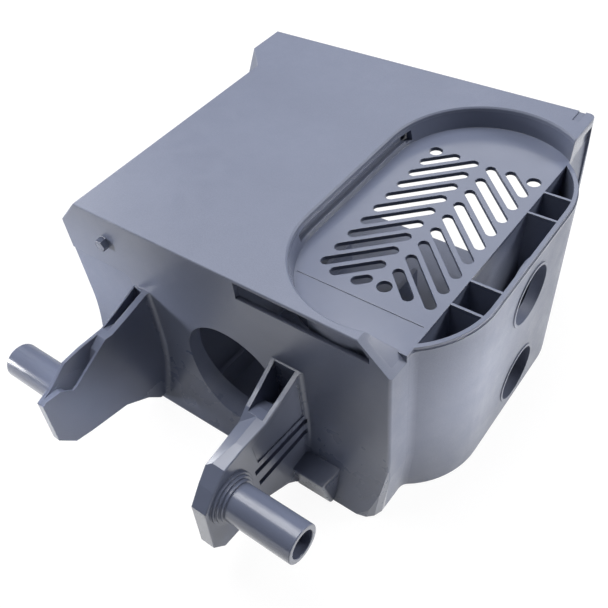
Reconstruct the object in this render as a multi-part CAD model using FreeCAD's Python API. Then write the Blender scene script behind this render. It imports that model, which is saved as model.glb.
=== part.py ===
import FreeCAD, Part
import math
import os

V = FreeCAD.Vector

# Overall body, in millimetres, standing on the flat bottom rim
HEIGHT = 126.6
DEPTH = 203.0
WALL = 2.6
BASE_T = 2.4
TOP_T = 2.5
CHAMFER = 16.4
RIGHT_CHAMFER_END_Y = 12.4
LEFT_X = -CHAMFER
RIGHT_X = 197.2
LEFT_FLARE = 0.0227
RIGHT_FLARE = 0.0138
RIGHT_KNEE_Z = 30.6
RIGHT_KNEE_X = RIGHT_X - 2.4
RIGHT_FOOT_X = RIGHT_X - 6.0
FOOT_START_Z = 54.0
FOOT_OUT = 11.2
BASE_NOTCH = 6.0
BASE_REAR_Y = DEPTH - BASE_NOTCH
LEFT_STOP_Y = DEPTH - 41.3
CORNER_R = 4.0

# Column on the right side with its row of deep pockets
COL_R_TOP = 50.3
COL_DRAFT = 3.3
COL_R_FOOT = COL_R_TOP - COL_DRAFT
COL_WALL = 2.7
COL_LIP = 0.5
COL_LIP_H = 1.9

# Tray sunk in the top, a stadium with its long axis front to rear, on the column's centres
TRAY_RIM = 2.4
TRAY_DRAFT = 2.1
TRAY_R_TOP = COL_R_TOP + TRAY_RIM
TRAY_R_FOOT = TRAY_R_TOP - TRAY_DRAFT
TRAY_WALL = 2.0
TRAY_R_OUT = TRAY_R_TOP + TRAY_WALL
TRAY_FRONT_LAND = 4.2
TRAY_REAR_LAND = 15.2
TRAY_X = RIGHT_X - 30.7
TRAY_Y0 = TRAY_FRONT_LAND + TRAY_R_TOP
TRAY_Y1 = DEPTH - TRAY_REAR_LAND - TRAY_R_TOP
TRAY_MID_Y = (TRAY_Y0 + TRAY_Y1) / 2
TRAY_DEPTH = 12.0
TRAY_LIP = 0.7
FLOOR_T = 2.2
FLOOR_Z = HEIGHT - TRAY_DEPTH

# Ribs between the column's pockets, and its two round holes
RIB_T = 1.4
RIBS_Y = (TRAY_Y0 - 7.7, TRAY_Y0 + 9.9, TRAY_Y1 - 10.6, TRAY_Y1 + 7.9)
SIDE_HOLE_R = 16.4
SIDE_HOLES = ((TRAY_MID_Y + 2.0, HEIGHT - 39.0), (TRAY_MID_Y + 4.0, 23.6))
SIDE_RING_T = 1.6
SIDE_RING_PROUD = 0.6
SIDE_COLLAR = 6.0

# Grille of slots in a chevron, each bank from left to right with its front limit
SLOT_W = 5.8
SLOT_PITCH = 11.6
SLOPE = 0.95
BANK_Y1 = TRAY_Y1 + 14.9
LEFT_BANK = (TRAY_X - 35.7, TRAY_X - 7.7, TRAY_Y0 - 19.2)
RIGHT_BANK = (TRAY_X - 1.3, TRAY_X + 26.2, TRAY_Y0 - 16.2)
LEFT_BANK_START = TRAY_Y1 - 0.7
RIGHT_BANK_START = TRAY_Y1 + 25.3
DRAIN_R = 3.8
DRAINS = ((TRAY_X - 33.2, TRAY_Y1 + 12.8), (TRAY_X + 24.8, TRAY_Y1 + 12.6), (TRAY_X + 0.1, TRAY_Y0 - 14.0))

# Round opening in the front wall with its inner collar
PORT_X = 97.0
PORT_Z = 49.0
PORT_R = 32.2
PORT_COLLAR_T = 2.2
PORT_COLLAR_Y = 8.5

# Window under the front lip of the top
WINDOW = (TRAY_X - TRAY_R_OUT - 0.1, RIGHT_X - 10.8, HEIGHT - 11.9, HEIGHT - 1.6)

# Ribs on the base, inside
BASE_RIBS_X = (67.6, 120.0)
BASE_RIB_T = 2.8
BASE_RIB_Z = 17.0
BASE_RIB_END_Y = DEPTH - 53.0

# Level above the base that the drops in the arms' outlines are measured down from
ARM_LEVEL = 126.6

# Pins, both on one line across the two arms
PIN_Y = -59.0
PIN_Z = ARM_LEVEL - 74.3
PIN_R = 10.0
PIN_BORE_R = 7.2
PIN_STEPS = ((13.9, 1.6), (12.6, 3.0), (11.2, 4.6))
PIN_END_RIGHT = 188.0
PIN_END_LEFT = -10.2

# Arms that carry the pins
RIGHT_ARM_X = 146.0
RIGHT_ARM_IN0 = 128.4
RIGHT_ARM_IN1 = 137.5
LEFT_ARM_X = 31.0
LEFT_ARM_IN0 = 42.5
LEFT_ARM_IN1 = 36.3
ARM_TIP_Y = -76.0
ARM_PLATE = 2.6
ARM_WEB = 2.4
LEFT_CHANNEL_WEB = 1.5
LEFT_INNER_PLATE = 4.0


# Grooves and a shallow panel in the right arm, as distance forward and depth below the top
GROOVES = (((-41.5, 79.4), (-41.5, 75.8), (-0.3, 79.6), (-0.3, 83.0)),
           ((-40.5, 89.6), (-40.5, 85.8), (-1.8, 87.3), (-1.8, 90.8)))
PANEL = ((-39.6, 57.6), (-38.4, 72.2), (-3.0, 76.0), (-3.0, 48.6), (-16.0, 53.0), (-28.0, 56.4))


def box(x0, x1, y0, y1, z0, z1):
    return Part.makeBox(x1 - x0, y1 - y0, z1 - z0, V(x0, y0, z0))


def polygon(points):
    wire = Part.makePolygon(points + [points[0]])
    return Part.Face(wire)


def prism_x(points, x0, x1):
    face = polygon([V(x0, y, z) for y, z in points])
    return face.extrude(V(x1 - x0, 0, 0))


def prism_y(points, y0, y1):
    face = polygon([V(x, y0, z) for x, z in points])
    return face.extrude(V(0, y1 - y0, 0))


def prism_z(points, z0, z1):
    face = polygon([V(x, y, z0) for x, y in points])
    return face.extrude(V(0, 0, z1 - z0))


def rod_x(y, z, r, x0, x1):
    return Part.makeCylinder(r, x1 - x0, V(x0, y, z), V(1, 0, 0))


def rod_y(x, z, r, y0, y1):
    return Part.makeCylinder(r, y1 - y0, V(x, y0, z), V(0, 1, 0))


def rod_z(x, y, r, z0, z1):
    return Part.makeCylinder(r, z1 - z0, V(x, y, z0), V(0, 0, 1))


def beyond(point, normal):
    # A very large block that fills the side of a plane the normal points to
    size = 600.0
    block = Part.makeBox(size, size, size, V(-size / 2, -size / 2, 0))
    turn = FreeCAD.Rotation(V(0, 0, 1), normal)
    block.Placement = FreeCAD.Placement(point, turn)
    return block


# Solid between two outlines of the same count of corners, with flat sides
def frustum(near, far):
    faces = [polygon(near), polygon(far)]
    count = len(near)
    for k in range(count):
        j = (k + 1) % count
        faces.append(polygon([near[k], near[j], far[j], far[k]]))
    return Part.Solid(Part.makeShell(faces))


def fuse(shapes):
    body = shapes[0].multiFuse(shapes[1:])
    return body.removeSplitter()


def edges_in(shape, zone, shortest=0.5):
    x0, x1, y0, y1, z0, z1 = zone
    found = []
    for edge in shape.Edges:
        if edge.Degenerated or edge.Length < shortest:
            continue
        b = edge.BoundBox
        if b.XMin >= x0 and b.XMax <= x1 and b.YMin >= y0 and b.YMax <= y1:
            if b.ZMin >= z0 and b.ZMax <= z1:
                found.append(edge)
    return found


def soften(shape, zone, radius, shortest=0.5):
    edges = edges_in(shape, zone, shortest)
    rounded = shape.makeFillet(radius, edges)
    return rounded.Solids[0]


# Stadium block with drafted sides, on the tray's two centres
def stadium(r0, r1, z0, z1):
    outline = [V(TRAY_X - r0, TRAY_Y0, z0), V(TRAY_X + r0, TRAY_Y0, z0),
               V(TRAY_X + r1, TRAY_Y0, z1), V(TRAY_X - r1, TRAY_Y0, z1)]
    middle = polygon(outline).extrude(V(0, TRAY_Y1 - TRAY_Y0, 0))
    ends = []
    for y in (TRAY_Y0, TRAY_Y1):
        foot = V(TRAY_X, y, z0)
        if abs(r1 - r0) < 1e-6:
            ends.append(Part.makeCylinder(r0, z1 - z0, foot))
        else:
            ends.append(Part.makeCone(r0, r1, z1 - z0, foot))
    return fuse([middle] + ends)


# Side outline of the body, with the front wall's foot curving forward
def side_face(inset, top, bottom, rear, x):
    run = FOOT_START_Z
    radius = (run * run + FOOT_OUT * FOOT_OUT) / (2.0 * FOOT_OUT)
    r = radius + inset
    drop = FOOT_START_Z - bottom
    half = drop / 2.0

    def curve(d):
        return -(r - math.sqrt(r * r - d * d)) + inset

    a = V(x, inset, FOOT_START_Z)
    b = V(x, curve(half), FOOT_START_Z - half)
    c = V(x, curve(drop), bottom)
    arc = Part.Arc(a, b, c).toShape()
    rest = Part.makePolygon([c, V(x, rear, bottom), V(x, rear, top), V(x, inset, top), a])
    return Part.Face(Part.Wire([arc] + rest.Edges))


# Front outline of the body at a given distance to the rear
def front_corners(y, inset, top, bottom):
    left = LEFT_X - LEFT_FLARE * y + inset
    grow = RIGHT_FLARE * y - inset
    return [V(left, y, bottom), V(RIGHT_FOOT_X + grow, y, bottom),
            V(RIGHT_KNEE_X + grow, y, RIGHT_KNEE_Z), V(RIGHT_X + grow, y, HEIGHT - 13.6),
            V(RIGHT_X + grow, y, top), V(left, y, top)]


def block(inset, top, bottom, rear):
    y0 = -40.0
    near = front_corners(y0, inset, top, bottom)
    far = front_corners(rear, inset, top, bottom)
    side = side_face(inset, top, bottom, rear, -60.0).extrude(V(320, 0, 0))
    return frustum(near, far).common(side)


# Long chamfer on the left top edge, with its sloped stop near the rear
def left_chamfer(inset):
    def corners(y):
        x = inset - LEFT_FLARE * y
        low = HEIGHT - CHAMFER - 20.0
        return [V(x + 20.0, y, HEIGHT + 20.0), V(x - CHAMFER - 20.0, y, low),
                V(x - CHAMFER - 20.0, y, HEIGHT + 20.0)]

    cutter = frustum(corners(-40.0), corners(DEPTH - 13.0))
    normal = V(0.64, 0.64, -0.415).normalize()
    stop = beyond(V(-5.0, LEFT_STOP_Y, HEIGHT) + normal * (3.0 * inset), normal)
    return cutter.cut(stop)


def right_chamfer(inset):
    x = RIGHT_X - CHAMFER - inset
    points = [(x - 20.0, HEIGHT + 20.0), (x + CHAMFER + 20.0, HEIGHT - CHAMFER - 20.0),
              (x + CHAMFER + 20.0, HEIGHT + 20.0)]
    long = prism_y(points, -40.0, TRAY_Y0)
    return long.cut(box(150.0, 260.0, RIGHT_CHAMFER_END_Y, 300.0, 0.0, FLOOR_Z))


# Right front corner, which rounds off more and more towards the foot
def foot_corner():
    tip = V(RIGHT_X - 1.2, 0.0, FOOT_START_Z)
    marks = [(181.0, -11.2), (186.2, -9.8), (189.4, -6.8), (191.2, -2.4)]
    cutters = []
    for (xa, ya), (xb, yb) in zip(marks[:-1], marks[1:]):
        a = V(xa, ya, 0.0)
        b = V(xb, yb, 0.0)
        cutter = beyond(a, (b - a).cross(tip - a))
        cutters.append(cutter.common(box(100.0, 260.0, -60.0, 60.0, -1.0, FOOT_START_Z)))
    return cutters


def outer_body():
    body = block(0.0, HEIGHT, 0.0, DEPTH)
    for cutter in foot_corner():
        body = body.cut(cutter)
    body = body.cut(left_chamfer(0.0))
    body = body.cut(right_chamfer(0.0))
    rear_x = RIGHT_X + RIGHT_FLARE * DEPTH
    corner = box(rear_x - CORNER_R, rear_x + 5, DEPTH - CORNER_R, DEPTH + 5, -1, HEIGHT + 1)
    corner = corner.cut(rod_z(rear_x - CORNER_R, DEPTH - CORNER_R, CORNER_R, -2, HEIGHT + 2))
    return body.cut(corner)


# Hollow of the body, open to the rear
def cavity():
    hollow = block(WALL, HEIGHT - TOP_T, BASE_T, DEPTH + 10.0)
    hollow = hollow.cut(left_chamfer(WALL * 0.42))
    hollow = hollow.cut(right_chamfer(WALL * 0.42))
    kept = stadium(TRAY_R_OUT, TRAY_R_OUT, FLOOR_Z - FLOOR_T, HEIGHT)
    return hollow.cut(kept)


# Space to the right of the middle of the body's right wall, as the wall stands at a given depth
def beside(y0, y1, y):
    f = RIGHT_FLARE * y - WALL / 2
    points = [(RIGHT_FOOT_X + f, 0.0), (RIGHT_KNEE_X + f, RIGHT_KNEE_Z), (RIGHT_X + f, HEIGHT - 13.6),
              (RIGHT_X + f, HEIGHT), (260.0, HEIGHT), (260.0, 0.0)]
    return prism_y(points, y0, y1)


def column():
    z1 = FLOOR_Z
    lip_r = COL_R_TOP - COL_LIP
    lip = stadium(lip_r, lip_r, z1 - COL_LIP_H - 1.0, z1)
    outer = fuse([stadium(COL_R_FOOT, COL_R_TOP, 0.0, z1 - COL_LIP_H), lip])
    inner = stadium(COL_R_FOOT - COL_WALL, COL_R_TOP - COL_WALL, 0.0, z1)
    ring = outer.cut(inner)
    parts = [ring.common(beside(-20.0, TRAY_MID_Y, 14.0))]
    parts.append(ring.common(beside(TRAY_MID_Y, DEPTH + 27.0, DEPTH - 25.0)))
    parts.append(outer.common(box(RIGHT_FOOT_X, 260, -20, DEPTH + 27, 0.0, BASE_T)))
    for y in RIBS_Y:
        parts.append(outer.common(beside(y - RIB_T / 2, y + RIB_T / 2, y)))
    for y, z in SIDE_HOLES:
        reach = COL_R_FOOT + (COL_R_TOP - COL_R_FOOT) * z / FLOOR_Z
        tube = rod_x(y, z, SIDE_HOLE_R + SIDE_RING_T, TRAY_X + reach - SIDE_COLLAR, 260)
        parts.append(tube.common(outer))
        proud = outer.copy()
        proud.translate(V(SIDE_RING_PROUD, 0, 0))
        parts.append(tube.common(proud).common(box(RIGHT_X + 7.8, 260, -20, DEPTH + 27, 0, z1)))
    return fuse(parts)


def slot(x0, y0, x1, y1, z0, z1):
    dx = x1 - x0
    dy = y1 - y0
    length = math.hypot(dx, dy)
    r = SLOT_W / 2
    ux = dx / length
    uy = dy / length
    ax = x0 + ux * r
    ay = y0 + uy * r
    bx = x1 - ux * r
    by = y1 - uy * r
    parts = [rod_z(ax, ay, r, z0, z1), rod_z(bx, by, r, z0, z1)]
    if length > 2.05 * r:
        nx = -uy * r
        ny = ux * r
        outline = [(ax + nx, ay + ny), (bx + nx, by + ny), (bx - nx, by - ny), (ax - nx, ay - ny)]
        parts.append(prism_z(outline, z0, z1))
    return fuse(parts)


# One bank of parallel slots, each cut short where it meets the bank's border
def bank(x0, x1, y0, y_start, slope):
    slots = []
    count = int((y_start + abs(slope) * (x1 - x0) - y0) / SLOT_PITCH) + 1
    for k in range(count):
        ya = y_start - SLOT_PITCH * k
        yb = ya + slope * (x1 - x0)
        xa = x0
        xb = x1
        if ya > BANK_Y1:
            xa = x0 + (BANK_Y1 - ya) / slope
            ya = BANK_Y1
        if yb > BANK_Y1:
            xb = x0 + (x1 - x0) - (yb - BANK_Y1) / slope
            yb = BANK_Y1
        if ya < y0:
            xa = xa + (y0 - ya) / slope
            ya = y0
        if yb < y0:
            xb = xb - (yb - y0) / slope
            yb = y0
        if math.hypot(xb - xa, yb - ya) < SLOT_W * 0.95:
            continue
        slots.append(slot(xa, ya, xb, yb, FLOOR_Z - FLOOR_T - 1.0, FLOOR_Z + 1.0))
    return slots


def grille():
    cuts = bank(*LEFT_BANK, LEFT_BANK_START, SLOPE)
    cuts += bank(*RIGHT_BANK, RIGHT_BANK_START, -SLOPE)
    for x, y in DRAINS:
        cuts.append(rod_z(x, y, DRAIN_R, FLOOR_Z - FLOOR_T - 1.0, FLOOR_Z + 1.0))
    return cuts


# Small details sunk in the tray and the top
def tray_details():
    wall_x = TRAY_X - TRAY_R_OUT
    cuts = [box(wall_x + 0.8, wall_x + 6.0, TRAY_Y0 - 11.9, TRAY_Y1 + 9.9, HEIGHT - 9.0, HEIGHT - 4.4)]
    notch = box(wall_x - 2.6, wall_x + 6.0, TRAY_Y1 + 8.9, TRAY_Y1 + 13.9, HEIGHT - 10.4, HEIGHT - 4.4)
    cuts.append(notch)
    seam = box(TRAY_X - 41.5, TRAY_X + 28.5, TRAY_Y0 - 27.0, TRAY_Y0 - 26.4, FLOOR_Z - 0.4, FLOOR_Z + 1.0)
    cuts.append(seam)
    cuts.append(box(RIGHT_X - 6.7, RIGHT_X - 2.9, DEPTH - 10.0, DEPTH + 7.0, HEIGHT - 0.8, HEIGHT + 1.0))
    return cuts


# Block behind the tray's long side slot, so that the slot has a bottom
def slot_backing():
    wall_x = TRAY_X - TRAY_R_OUT
    return box(wall_x - 4.4, wall_x + 0.5, TRAY_Y0 - 14.4, TRAY_Y1 + 16.4, FLOOR_Z - 1.0, HEIGHT - 1.0)


def front_window():
    x0, x1, z0, z1 = WINDOW
    bend = RIGHT_X - CHAMFER - 0.8
    outline = [(x0, z0), (x1, z0), (x1, z1 - (x1 - bend)), (bend, z1), (x0, z1)]
    opening = prism_y(outline, -2.0, WALL + 3.0)
    return opening.cut(stadium(TRAY_R_OUT, TRAY_R_OUT, z0 - 1.0, z1 + 1.0))


def port():
    return rod_y(PORT_X, PORT_Z, PORT_R, -30.0, PORT_COLLAR_Y + 1.0)


def port_collar():
    ring = rod_y(PORT_X, PORT_Z, PORT_R + PORT_COLLAR_T, -12.0, PORT_COLLAR_Y)
    return ring.common(block(0.0, HEIGHT, 0.0, DEPTH))


# Side outline of an arm's outer plate, as distance forward and depth below the top
def arm_plate_outline():
    drops = ((4.0, 42.5), (0.0, 43.5), (-16.0, 49.0), (-28.0, 52.6), (-44.0, 52.0), (-58.0, 53.2),
             (-67.0, 60.0), (-75.0, 67.5), (-76.5, 96.0), (-70.5, 103.6), (-61.4, 104.4),
             (-36.0, 106.2), (-22.0, 114.0), (-13.0, 123.4), (4.0, 123.4))
    return [(y, ARM_LEVEL - d) for y, d in drops]


def arm_top_outline():
    drops = ((4.0, 42.5), (0.0, 43.5), (-16.0, 49.0), (-28.0, 52.6), (-44.0, 52.0), (-58.0, 53.2),
             (-67.0, 60.0), (-75.0, 67.5), (-75.2, 70.0), (-62.0, 88.0), (4.0, 104.0))
    return [(y, ARM_LEVEL - d) for y, d in drops]


# Wedge that trims an arm's inner side to its taper
def arm_taper(x_wall, x_tip, outward):
    y0 = 30.0
    y1 = -120.0
    rate = (x_tip - x_wall) / ARM_TIP_Y
    xa = x_wall + rate * y0
    xb = x_wall + rate * y1
    far = 60.0 * outward
    points = [(xa, y0), (xb, y1), (xb + far, y1), (xa + far, y0)]
    return prism_z(points, -20.0, HEIGHT + 20.0)


def channel(x0, x1, near_wall):
    if near_wall:
        drops = ((-1.0, 30.0), (-1.0, 84.0), (-5.0, 84.0), (-8.0, 68.0), (-14.0, 59.5),
                 (-21.0, 54.8), (-29.0, 52.2), (-29.0, 30.0))
    else:
        drops = ((-33.0, 30.0), (-33.0, 53.5), (-55.0, 70.0), (-66.0, 66.0), (-66.0, 30.0))
    return prism_x([(y, ARM_LEVEL - d) for y, d in drops], x0, x1)


def right_arm():
    plate = prism_x(arm_plate_outline(), RIGHT_ARM_X - ARM_PLATE, RIGHT_ARM_X)
    rim = (RIGHT_ARM_X - 0.01, RIGHT_ARM_X + 0.01, -90.0, 10.0, 0.0, HEIGHT)
    plate = soften(plate, rim, 0.7)
    top = prism_x(arm_top_outline(), RIGHT_ARM_IN0 - 2.0, RIGHT_ARM_X - 1.0)
    tip = prism_x(arm_plate_outline(), RIGHT_ARM_IN0, RIGHT_ARM_X - 1.0)
    tip = tip.common(box(100.0, 200.0, -90.0, -50.0, 0.0, ARM_LEVEL - 60.0))
    top = fuse([top, tip]).cut(arm_taper(RIGHT_ARM_IN0, RIGHT_ARM_IN1, -1.0))
    hollow = channel(RIGHT_ARM_IN0 - 2.0, RIGHT_ARM_X - ARM_WEB, True)
    keep = arm_taper(RIGHT_ARM_IN0 + ARM_WEB, RIGHT_ARM_IN1 + ARM_WEB, -1.0)
    top = top.cut(hollow.cut(keep))
    fall = [(RIGHT_ARM_X - 3.0, ARM_LEVEL - 51.0), (RIGHT_ARM_IN0 - 2.0, ARM_LEVEL - 59.0),
            (RIGHT_ARM_IN0 - 2.0, ARM_LEVEL - 36.0), (RIGHT_ARM_X - 3.0, ARM_LEVEL - 36.0)]
    reach = ((-24.0, 51.0), (-38.0, 59.2), (-52.0, 59.2), (-68.0, 50.0), (-68.0, 38.0), (-24.0, 38.0))
    reach = prism_x([(y, ARM_LEVEL - d) for y, d in reach], 100.0, 160.0)
    top = top.cut(prism_y(fall, -68.0, -24.0).common(reach))
    return fuse([plate, top])


# Hollow curve where the right arm's outer side meets the front wall
def arm_root():
    zone = box(RIGHT_ARM_X - 26.0, RIGHT_ARM_X + 32.0, -30.0, 1.0, -1.0, ARM_LEVEL - 20.0)
    wall = outer_body().common(zone)
    plate = prism_x(arm_plate_outline(), RIGHT_ARM_X - ARM_PLATE, RIGHT_ARM_X)
    joint = wall.fuse(plate).removeSplitter()
    joint = soften(joint, (RIGHT_ARM_X - 0.1, RIGHT_ARM_X + 0.1, -14.0, 0.1, 4.0, ARM_LEVEL - 42.6), 2.5)
    return joint.common(box(RIGHT_ARM_X - 1.5, RIGHT_ARM_X + 4.0, -16.0, 1.0, 5.0, ARM_LEVEL - 41.0))


def arm_grooves():
    cuts = []
    for drops in GROOVES:
        outline = [(y, ARM_LEVEL - d) for y, d in drops]
        cuts.append(prism_x(outline, RIGHT_ARM_X - 1.9, RIGHT_ARM_X + 0.6))
    outline = [(y, ARM_LEVEL - d) for y, d in PANEL]
    cuts.append(prism_x(outline, RIGHT_ARM_X - 0.7, RIGHT_ARM_X + 4.0))
    return cuts


def left_arm_outline():
    drops = ((4.0, 42.5), (0.0, 43.5), (-16.0, 49.0), (-28.0, 52.6), (-44.0, 52.0), (-56.0, 52.8),
             (-67.0, 60.0), (-77.4, 64.0), (-78.6, 92.5), (-70.6, 102.2), (-60.0, 103.9),
             (-36.0, 106.2), (-22.0, 114.0), (-13.0, 123.4), (4.0, 123.4))
    return [(y, ARM_LEVEL - d) for y, d in drops]


def left_arm():
    solid = prism_x(left_arm_outline(), LEFT_ARM_X, LEFT_ARM_IN0 + 8.0)
    solid = solid.cut(arm_taper(LEFT_ARM_IN0, LEFT_ARM_IN1, 1.0))
    web = LEFT_ARM_X + ARM_WEB
    hollow = channel(LEFT_ARM_X + LEFT_CHANNEL_WEB, LEFT_ARM_IN0 + 8.0, True)
    keep = arm_taper(LEFT_ARM_IN0 - LEFT_INNER_PLATE, LEFT_ARM_IN1 - LEFT_INNER_PLATE, 1.0)
    hollow = hollow.cut(keep)
    solid = solid.cut(hollow)
    # The inner plate's top edge dips below the outer web, with a pocket between the two
    dip = ((-32.0, 52.0), (-57.0, 67.4), (-59.5, 68.3), (-66.0, 63.1), (-80.0, 62.6), (-80.0, 40.0),
           (-32.0, 40.0))
    solid = solid.cut(prism_x([(y, ARM_LEVEL - d) for y, d in dip], web, LEFT_ARM_IN0 + 8.0))
    deep = ((-38.0, 54.0), (-44.0, 66.0), (-57.0, 76.0), (-62.0, 74.0), (-64.0, 60.0))
    pocket = prism_x([(y, ARM_LEVEL - d) for y, d in deep], web, LEFT_ARM_IN0 + 8.0)
    pocket = pocket.cut(arm_taper(LEFT_ARM_IN0 - 1.5, LEFT_ARM_IN1 - 1.5, 1.0))
    rim = (LEFT_ARM_X - 0.01, LEFT_ARM_X + 0.01, -90.0, 10.0, 0.0, HEIGHT)
    return soften(solid.cut(pocket), rim, 0.7)


def pin(x_face, x_end, outward):
    lo = min(x_face, x_end)
    hi = max(x_face, x_end)
    parts = [rod_x(PIN_Y, PIN_Z, PIN_R, lo, hi)]
    for r, run in PIN_STEPS:
        edge = x_face + outward * run
        inner = x_face - outward * ARM_PLATE
        parts.append(rod_x(PIN_Y, PIN_Z, r, min(inner, edge), max(inner, edge)))
    return fuse(parts)


def pin_bore(x_face, x_end, outward):
    start = x_face + outward * 2.0
    stop = x_end + outward * 2.0
    return rod_x(PIN_Y, PIN_Z, PIN_BORE_R, min(start, stop), max(start, stop))


# Six-sided stub on the front wall
def stub():
    across = 6.5
    r = across / math.sqrt(3.0)
    points = []
    for k in range(6):
        a = math.radians(60.0 * k)
        points.append((18.0 + r * math.cos(a), HEIGHT - 18.5 + r * math.sin(a)))
    return prism_y(points, -4.0, 1.0)


# Block at the foot of the front wall, beside the right arm
def foot_boss():
    x0 = RIGHT_ARM_X - 1.5
    x1 = RIGHT_ARM_X + 19.4
    solid = prism_x([(-2.0, 21.6), (-17.4, 20.6), (-13.2, 0.0), (-2.0, 0.0)], x0, x1 + 3.0)
    plan = prism_z([(x0, 0.0), (x0, -20.0), (x1, -20.0), (x1, -17.4), (x1 + 2.4, 0.0)], -1.0, 30.0)
    solid = solid.common(plan)
    edges = edges_in(solid, (x0 - 0.1, x1 + 0.1, -17.5, -17.3, 20.5, 20.7))
    edges += edges_in(solid, (x1 - 0.1, x1 + 3.0, -17.5, -1.9, -0.1, 21.7), 12.0)
    solid = solid.makeFillet(1.2, edges).Solids[0]
    return solid.cut(block(WALL / 2, HEIGHT, 0.0, DEPTH))


# Low stiffening ribs that stand on the base inside
def base_ribs():
    ribs = []
    for x in BASE_RIBS_X:
        rib = box(x - BASE_RIB_T / 2, x + BASE_RIB_T / 2, -4.0, BASE_RIB_END_Y, 1.0, BASE_RIB_Z)
        ribs.append(rib.common(block(WALL / 2, HEIGHT, 0.0, DEPTH)))
    return ribs


# Slightly sunk panel on the front wall, left of the left arm
def front_panel():
    x1 = 30.0
    z1 = HEIGHT - 37.0
    r = 5.0
    region = box(-40.0, x1, -40.0, 40.0, -5.0, z1 - r).fuse(box(-40.0, x1 - r, -40.0, 40.0, -5.0, z1))
    region = region.fuse(rod_y(x1 - r, z1 - r, r, -40.0, 40.0))
    body = block(0.0, HEIGHT, 0.0, DEPTH)
    moved = body.copy()
    moved.translate(V(0, 0.7, 0))
    return body.cut(moved).common(region)


# Hollow curve that leads from the body's right side into the column
def column_blend():
    rho = 6.0
    wires = []
    for z, side in ((0.0, RIGHT_FOOT_X), (RIGHT_KNEE_Z, RIGHT_KNEE_X), (FLOOR_Z - COL_LIP_H, RIGHT_X)):
        rise = z / (FLOOR_Z - COL_LIP_H)
        r = COL_R_FOOT + (COL_R_TOP - COL_R_FOOT) * rise
        face = side + RIGHT_FLARE * 17.0
        cx = face + rho
        cy = TRAY_Y0 - math.sqrt((r + rho) ** 2 - (cx - TRAY_X) ** 2)
        scale = r / (r + rho)
        ex = TRAY_X + (cx - TRAY_X) * scale
        ey = TRAY_Y0 + (cy - TRAY_Y0) * scale
        dx = (face + ex) / 2 - cx
        dy = (cy + ey) / 2 - cy
        reach = math.hypot(dx, dy)
        middle = V(cx + dx / reach * rho, cy + dy / reach * rho, z)
        start = V(face, cy, z)
        end = V(ex, ey, z)
        arc = Part.Arc(start, middle, end).toShape()
        x2 = ex + 2.5
        y2 = TRAY_Y0 - math.sqrt((r - 0.05) ** 2 - (x2 - TRAY_X) ** 2)
        corner = V(face - 1.2, y2 + 1.0, z)
        back = Part.makePolygon([end, V(x2, y2, z), corner, V(face - 1.2, cy, z), start])
        wires.append(Part.Wire([arc] + back.Edges))
    lower = Part.makeLoft([wires[0], wires[1]], True, True)
    upper = Part.makeLoft([wires[1], wires[2]], True, True)
    return [lower, upper]


def side_panel():
    x = RIGHT_X + 1.2
    return box(x, x + 10.0, DEPTH - 25.0, DEPTH - 4.0, 6.0, HEIGHT - 5.0)


# Zones of edges that are rounded, each with its radius and shortest edge
TOP = (HEIGHT - 0.05, HEIGHT + 0.05)
LEFT_ROOT = (LEFT_ARM_IN0 - 2.5, LEFT_ARM_IN0 + 3.5, -14.0, 0.1, 0.0, ARM_LEVEL - 36.6)
RIGHT_FRONT = (RIGHT_X - 3.2, RIGHT_X + 0.1, -0.1, 0.1, FOOT_START_Z - 1.0, HEIGHT - 13.6)
TOP_FRONT = (LEFT_X - 3.6, RIGHT_X + 2.8, -0.1, 0.1) + TOP
LEFT_TOP = (LEFT_X - 3.6, 5.0, -1.0, LEFT_STOP_Y + 8.3) + TOP
PIN_ZONE = (PIN_Y - 11.0, PIN_Y + 11.0, PIN_Z - 12.3, PIN_Z + 11.7)
RIGHT_END = (PIN_END_RIGHT - 0.05, PIN_END_RIGHT + 0.05) + PIN_ZONE
LEFT_END = (PIN_END_LEFT - 0.05, PIN_END_LEFT + 0.05) + PIN_ZONE
ROOTS = ((LEFT_ROOT, 2.5, 0.5),)
EDGES = ((RIGHT_FRONT, 1.6, 0.5), (TOP_FRONT, 0.8, 30.0), (LEFT_TOP, 0.8, 60.0), (RIGHT_END, 0.5, 0.5),
         (LEFT_END, 0.5, 0.5))


def housing():
    shell = outer_body().cut(cavity())
    shell = shell.cut(box(LEFT_X - 0.6, RIGHT_X - 8.2, BASE_REAR_Y, DEPTH + 5, -1, BASE_T + 0.5))
    parts = [shell, column(), port_collar(), slot_backing(), right_arm(), left_arm(), stub()]
    parts.append(pin(RIGHT_ARM_X, PIN_END_RIGHT, 1.0))
    parts.append(pin(LEFT_ARM_X, PIN_END_LEFT, -1.0))
    parts += [arm_root(), foot_boss()]
    parts += base_ribs()
    body = fuse(parts)
    body = fuse([body] + column_blend())
    for zone, radius, shortest in ROOTS:
        body = soften(body, zone, radius, shortest)
    cuts = [stadium(TRAY_R_FOOT, TRAY_R_TOP, FLOOR_Z, HEIGHT), port(), front_window()]
    cuts += grille()
    cuts += tray_details()
    cuts += arm_grooves()
    cuts += [side_panel(), front_panel()]
    cuts.append(pin_bore(RIGHT_ARM_X, PIN_END_RIGHT, 1.0))
    cuts.append(pin_bore(LEFT_ARM_X, PIN_END_LEFT, -1.0))
    for y, z in SIDE_HOLES:
        cuts.append(rod_x(y, z, SIDE_HOLE_R, RIGHT_X + 3.0, TRAY_X + COL_R_TOP + 13.2))
    body = body.cut(cuts[0]).cut(Part.makeCompound(cuts[1:]))
    lip = TRAY_LIP + 0.2
    body = body.cut(stadium(TRAY_R_TOP - 0.2, TRAY_R_TOP + lip, HEIGHT - lip, HEIGHT + 0.2))
    for zone, radius, shortest in EDGES:
        body = soften(body, zone, radius, shortest)
    return body


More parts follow.
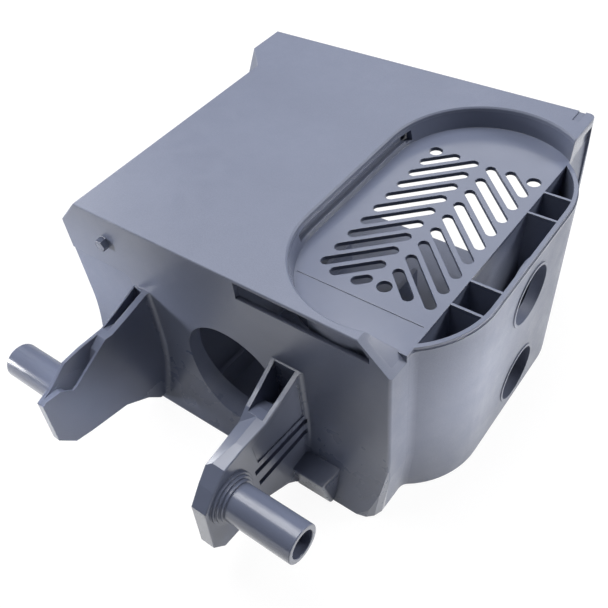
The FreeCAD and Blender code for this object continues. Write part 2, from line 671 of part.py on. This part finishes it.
os.makedirs("parts", exist_ok=True)
shape = housing()
if shape.ShapeType != "Solid" and len(shape.Solids) == 1:
    shape = shape.Solids[0]
shape.exportStep("parts/housing.step")
print("housing", shape.isValid(), len(shape.Solids), shape.Volume, shape.optimalBoundingBox())
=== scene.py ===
import math

import bpy
from mathutils import Matrix, Vector


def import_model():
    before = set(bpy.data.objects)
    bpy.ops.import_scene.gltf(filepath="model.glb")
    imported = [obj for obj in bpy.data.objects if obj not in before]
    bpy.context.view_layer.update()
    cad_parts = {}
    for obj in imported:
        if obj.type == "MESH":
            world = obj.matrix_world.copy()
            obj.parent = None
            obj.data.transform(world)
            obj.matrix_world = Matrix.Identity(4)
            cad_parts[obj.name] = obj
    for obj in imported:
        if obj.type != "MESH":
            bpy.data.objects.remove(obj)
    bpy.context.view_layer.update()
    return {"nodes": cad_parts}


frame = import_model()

# Lengths are in metres, and colours are linear
MM = 0.001

# Camera at the photo's view, in the frame of the part
CAMERA_AT = Vector((306.6, -166.6, 363.1)) * MM
CAMERA_RIGHT = Vector((0.79685, 0.59651, -0.09597))
CAMERA_DOWN = Vector((0.37509, -0.61294, -0.69542))
CAMERA_AHEAD = Vector((-0.47365, 0.51815, -0.71217))
LENS_MM = 44.96
SENSOR_MM = 36.0
CLIP_NEAR = 0.01
CLIP_FAR = 50.0

# Zones of the part along one axis: each pair runs from not in it to fully in it
TOP = 126.6 * MM
ARM_Y = (-2.0 * MM, -6.0 * MM)
ARM_Z = (14.0 * MM, 24.0 * MM)
TRAY_X = (112.0 * MM, 114.0 * MM)
TRAY_Y = (3.0 * MM, 5.0 * MM)
TRAY_UNDER_TOP = (TOP - 1.0 * MM, TOP - 3.0 * MM)
TRAY_OVER_FLOOR = (TOP - 16.0 * MM, TOP - 13.0 * MM)
WALL_Y = (0.6 * MM, -0.2 * MM)
WALL_UNDER_TOP = (TOP - 0.8 * MM, TOP - 1.6 * MM)
AHEAD_OF_FOOT = (-11.5 * MM, -12.5 * MM)
BEHIND_FOOT = (0.2 * MM, 0.4 * MM)
OVER_FOOT = (52.0 * MM, 56.0 * MM)

# Noises: scale per metre, detail and roughness
GRAIN = (1700.0, 3.0, 0.62)
FINE_GRAIN = (4600.0, 2.0, 0.5)
FLOW = (26.0, 3.0, 0.55)
PATCHES = (95.0, 3.0, 0.6)

# Colour of the plastic, its drift with the flow, its patches and the specks of its grain
PLASTIC = (0.138, 0.157, 0.224, 1.0)
PLASTIC_DEEP = (0.130, 0.148, 0.212, 1.0)
PLASTIC_PALE = (0.147, 0.167, 0.237, 1.0)
SPECK = (0.26, 0.29, 0.38, 1.0)
FLOW_RANGE = (0.32, 0.68)
PATCH_RANGE = (0.35, 0.65)
PATCH_SHARE = (0.15, 0.75)
SPECK_RANGE = (0.36, 0.66)
SPECK_SHARE = 0.15

# Roughness of each skin, over the range of the patches
ROUGH_RANGE = (0.3, 0.7)
ROUGH_GRAINED = (0.42, 0.52)
ROUGH_SATIN = (0.25, 0.33)
ROUGH_SMOOTH = (0.17, 0.25)
PLASTIC_IOR = 1.5

# Relief: shares of the two grains, depth, strength from grained to smooth, and the edges
GRAIN_SHARE = 0.7
FINE_SHARE = 0.3
RELIEF_DEPTH = 0.15 * MM
RELIEF_STRENGTH = (0.50, 0.02)
SATIN_CALM = 0.8
EDGE_RADIUS = 0.4 * MM
EDGE_SAMPLES = 8

# Floor: half its side, how far it lies under the part, and its own pale colour
FLOOR_HALF = 6.0
FLOOR_DROP = 0.5 * MM
FLOOR_COLOUR = (0.60, 0.60, 0.61, 1.0)
# Its white: share, strength for the camera near and far, and over which squared distance
WHITE = (1.0, 1.0, 1.0, 1.0)
WHITE_SHARE = 0.84
WHITE_SEEN = (1.12, 1.22)
FAR_RANGE = (0.25, 4.0)
# Its strength in reflections, in the open and in the shade, and where that shade lies
WHITE_MIRRORED = (2.0, 0.5)
SHADE_X = (0.190, 0.150)
SHADE_Y = (-0.09, -0.05)

# World: its soft light, and its white for the camera
SOFT_COLOUR = (0.93, 0.95, 1.0, 1.0)
SOFT_STRENGTH = 0.07
BACKDROP_STRENGTH = 1.0

# Lamps: name, place, aim, size, power in watts, spread in degrees and colour
MIDDLE = (0.09, 0.08, 0.08)
WIDE = 180.0
NEUTRAL = (1.0, 1.0, 1.0)
WARM = (1.0, 0.96, 0.88)
SOFT_BOXES = (
    ("top", (-0.25, 0.22, 1.40), MIDDLE, (1.0, 0.9), 21.0, WIDE, NEUTRAL),
    ("rear", (-0.40, 1.40, 1.20), MIDDLE, (0.9, 0.8), 4.4, WIDE, NEUTRAL),
    ("left", (-1.10, 0.30, 0.45), MIDDLE, (0.5, 0.5), 9.0, WIDE, NEUTRAL),
    ("right_rear", (0.95, 0.80, 0.75), MIDDLE, (0.4, 0.4), 7.5, WIDE, NEUTRAL),
)
# Narrow beams on the column, the left arm's inner side and the front wall's left end
BEAMS = (
    ("side", (0.60, 0.04, 0.07), (0.205, 0.045, 0.07), (0.05, 0.08), 0.025, 20.0, WARM),
    ("arm", (0.19, -0.20, 0.30), (0.037, -0.064, 0.040), (0.04, 0.04), 0.007, 10.0, NEUTRAL),
    ("front_left", (-0.22, -0.20, 0.12), (-0.015, 0.0, 0.07), (0.10, 0.10), 0.055, 22.0, NEUTRAL),
)


class Tree:
    """Short names for building a node tree."""

    # Sockets of a Mix node: first value, second value and result
    MIX_SOCKETS = {"RGBA": (6, 7, 2), "FLOAT": (2, 3, 0)}

    def __init__(self, owner):
        owner.use_nodes = True
        self.nodes = owner.node_tree.nodes
        self.links = owner.node_tree.links
        self.nodes.clear()

    def add(self, kind, **values):
        node = self.nodes.new(kind)
        for key, value in values.items():
            setattr(node, key, value)
        return node

    def feed(self, socket, value):
        """Sets a plain number or colour on a socket, or links a node's output to it."""
        if isinstance(value, (int, float, tuple)):
            socket.default_value = value
        else:
            self.links.new(value, socket)

    def shader(self, kind, **values):
        """A shader node with values for its sockets, whose names have _ for a space."""
        node = self.add(kind)
        for key, value in values.items():
            self.feed(node.inputs[key.replace("_", " ")], value)
        return node.outputs[0]

    def math(self, operation, a, b):
        node = self.add("ShaderNodeMath", operation=operation)
        self.feed(node.inputs[0], a)
        self.feed(node.inputs[1], b)
        return node.outputs[0]

    def times(self, a, b):
        return self.math("MULTIPLY", a, b)

    def plus(self, a, b):
        return self.math("ADD", a, b)

    def most(self, a, b):
        return self.math("MAXIMUM", a, b)

    def noise(self, vector, scale, detail, rough):
        node = self.add("ShaderNodeTexNoise")
        node.inputs["Scale"].default_value = scale
        node.inputs["Detail"].default_value = detail
        node.inputs["Roughness"].default_value = rough
        self.feed(node.inputs["Vector"], vector)
        return node.outputs["Fac"]

    def mix(self, factor, a, b, kind="RGBA"):
        node = self.add("ShaderNodeMix", data_type=kind)
        first, second, result = self.MIX_SOCKETS[kind]
        self.feed(node.inputs[0], factor)
        self.feed(node.inputs[first], a)
        self.feed(node.inputs[second], b)
        return node.outputs[result]

    def mix_shader(self, factor, a, b):
        node = self.add("ShaderNodeMixShader")
        for socket, value in zip(node.inputs, (factor, a, b)):
            self.feed(socket, value)
        return node.outputs[0]

    def place(self):
        """The place on the object, whole and as its three parts."""
        where = self.add("ShaderNodeTexCoord").outputs["Object"]
        node = self.add("ShaderNodeSeparateXYZ")
        self.feed(node.inputs[0], where)
        return where, node.outputs

    def span(self, value, source, target=(0.0, 1.0)):
        """Maps the range source to the range target, held at its ends."""
        node = self.add("ShaderNodeMapRange")
        node.inputs["From Min"].default_value, node.inputs["From Max"].default_value = source
        node.inputs["To Min"].default_value, node.inputs["To Max"].default_value = target
        self.feed(node.inputs["Value"], value)
        return node.outputs["Result"]


def smooth_skin(t, x, y, z):
    """Share of the smooth skin, on the arms and pins and in the tray."""
    arm = t.times(t.span(y, ARM_Y), t.span(z, ARM_Z))
    tray_height = t.times(t.span(z, TRAY_UNDER_TOP), t.span(z, TRAY_OVER_FLOOR))
    tray_place = t.times(t.span(x, TRAY_X), t.span(y, TRAY_Y))
    return t.most(arm, t.times(tray_height, tray_place))


def satin_skin(t, y, z):
    """Share of the satin skin, on the front wall."""
    return t.times(t.span(y, WALL_Y), t.span(z, WALL_UNDER_TOP))


def plastic_colour(t, flow, patches, grain, smooth):
    drift = t.mix(t.span(flow, FLOW_RANGE), PLASTIC_DEEP, PLASTIC_PALE)
    plain = t.mix(t.span(patches, PATCH_RANGE, PATCH_SHARE), drift, PLASTIC)
    speck = t.times(t.span(grain, SPECK_RANGE), SPECK_SHARE)
    return t.mix(smooth, t.mix(speck, plain, SPECK), plain)


def plastic_roughness(t, patches, smooth, satin):
    grained, half, fine = (
        t.span(patches, ROUGH_RANGE, skin) for skin in (ROUGH_GRAINED, ROUGH_SATIN, ROUGH_SMOOTH)
    )
    return t.mix(smooth, t.mix(satin, grained, half, "FLOAT"), fine, "FLOAT")


def rounded_edges(t, y, z):
    """Normal with small round edges, but not on the wall's curved foot, which has none."""
    off_foot = t.most(t.span(y, AHEAD_OF_FOOT), t.span(y, BEHIND_FOOT))
    off_foot = t.most(off_foot, t.span(z, OVER_FOOT))
    edge = t.add("ShaderNodeBevel", samples=EDGE_SAMPLES)
    t.feed(edge.inputs["Radius"], t.times(off_foot, EDGE_RADIUS))
    return edge.outputs[0]


def relief(t, where, grain, smooth, satin, normal):
    """Spark-eroded grain, about half a millimetre, that fades on the finer skins."""
    fine = t.noise(where, *FINE_GRAIN)
    height = t.plus(t.times(grain, GRAIN_SHARE), t.times(fine, FINE_SHARE))
    calm = t.most(smooth, t.times(satin, SATIN_CALM))
    bump = t.add("ShaderNodeBump")
    bump.inputs["Distance"].default_value = RELIEF_DEPTH
    t.feed(bump.inputs["Strength"], t.span(calm, (0.0, 1.0), RELIEF_STRENGTH))
    t.feed(bump.inputs["Height"], height)
    t.feed(bump.inputs["Normal"], normal)
    return bump.outputs[0]


def plastic():
    material = bpy.data.materials.new("moulded_plastic")
    t = Tree(material)
    out = t.add("ShaderNodeOutputMaterial")
    where, (x, y, z) = t.place()
    smooth = smooth_skin(t, x, y, z)
    satin = satin_skin(t, y, z)
    grain = t.noise(where, *GRAIN)
    flow = t.noise(where, *FLOW)
    patches = t.noise(where, *PATCHES)
    surface = t.shader(
        "ShaderNodeBsdfPrincipled",
        Base_Color=plastic_colour(t, flow, patches, grain, smooth),
        Roughness=plastic_roughness(t, patches, smooth, satin),
        IOR=PLASTIC_IOR,
        Normal=relief(t, where, grain, smooth, satin, rounded_edges(t, y, z)),
    )
    t.feed(out.inputs["Surface"], surface)
    return material


def floor_white(t, mirrored_ray):
    """Strength of the floor's white, for the camera and in reflections."""
    x, y, _ = t.place()[1]
    # The photo shows shade in front of the wall and between the arms
    shade = t.times(t.span(x, SHADE_X), t.span(y, SHADE_Y))
    mirrored = t.span(shade, (0.0, 1.0), WHITE_MIRRORED)
    # Far off, where the lamps fade, it is a little stronger, so that no horizon shows
    away = t.plus(t.times(x, x), t.times(y, y))
    seen = t.span(away, FAR_RANGE, WHITE_SEEN)
    return t.mix(mirrored_ray, seen, mirrored, "FLOAT")


def floor_material():
    material = bpy.data.materials.new("floor_pale")
    t = Tree(material)
    out = t.add("ShaderNodeOutputMaterial")
    path = t.add("ShaderNodeLightPath").outputs
    pale = t.shader("ShaderNodeBsdfDiffuse", Color=FLOOR_COLOUR)
    strength = floor_white(t, path["Is Glossy Ray"])
    white = t.shader("ShaderNodeEmission", Color=WHITE, Strength=strength)
    seen = t.most(path["Is Camera Ray"], path["Is Glossy Ray"])
    seen = t.most(seen, path["Is Transmission Ray"])
    # Some of the diffuse floor stays under the white, so the object keeps its shadow
    t.feed(out.inputs["Surface"], t.mix_shader(t.times(seen, WHITE_SHARE), pale, white))
    return material


def link_new(name, data):
    """A new object with this data, in the scene."""
    obj = bpy.data.objects.new(name, data)
    bpy.context.scene.collection.objects.link(obj)
    return obj


def floor():
    mesh = bpy.data.meshes.new("floor")
    corners = [(-1, -1), (1, -1), (1, 1), (-1, 1)]
    points = [(x * FLOOR_HALF, y * FLOOR_HALF, -FLOOR_DROP) for x, y in corners]
    mesh.from_pydata(points, [], [(0, 1, 2, 3)])
    mesh.materials.append(floor_material())
    obj = link_new("floor", mesh)


def world():
    studio = bpy.data.worlds.new("studio")
    bpy.context.scene.world = studio
    t = Tree(studio)
    out = t.add("ShaderNodeOutputWorld")
    soft = t.shader("ShaderNodeBackground", Color=SOFT_COLOUR, Strength=SOFT_STRENGTH)
    white = t.shader("ShaderNodeBackground", Color=WHITE, Strength=BACKDROP_STRENGTH)
    camera_ray = t.add("ShaderNodeLightPath").outputs["Is Camera Ray"]
    t.feed(out.inputs["Surface"], t.mix_shader(camera_ray, soft, white))


def lamp(name, at, aim, size, power, spread, colour):
    data = bpy.data.lights.new(name, "AREA")
    data.shape = "RECTANGLE"
    data.size, data.size_y = size
    data.energy = power
    data.spread = math.radians(spread)
    data.color = colour
    obj = link_new(name, data)
    obj.location = at
    ahead = Vector(aim) - Vector(at)
    obj.rotation_euler = ahead.to_track_quat("-Z", "Y").to_euler()


def camera():
    data = bpy.data.cameras.new("camera")
    data.lens = LENS_MM
    data.sensor_width = SENSOR_MM
    data.sensor_fit = "HORIZONTAL"
    data.clip_start = CLIP_NEAR
    data.clip_end = CLIP_FAR
    obj = link_new("camera", data)
    axes = Matrix((CAMERA_RIGHT, -CAMERA_DOWN, -CAMERA_AHEAD)).transposed()
    obj.matrix_world = Matrix.Translation(CAMERA_AT) @ axes.to_4x4()
    bpy.context.scene.camera = obj


def dress():
    material = plastic()
    for obj in frame["nodes"].values():
        if not obj.material_slots:
            obj.data.materials.append(material)
        for slot in obj.material_slots:
            slot.material = material


dress()
floor()
world()
for row in SOFT_BOXES + BEAMS:
    lamp(*row)
camera()
bpy.context.scene.view_settings.view_transform = "Standard"
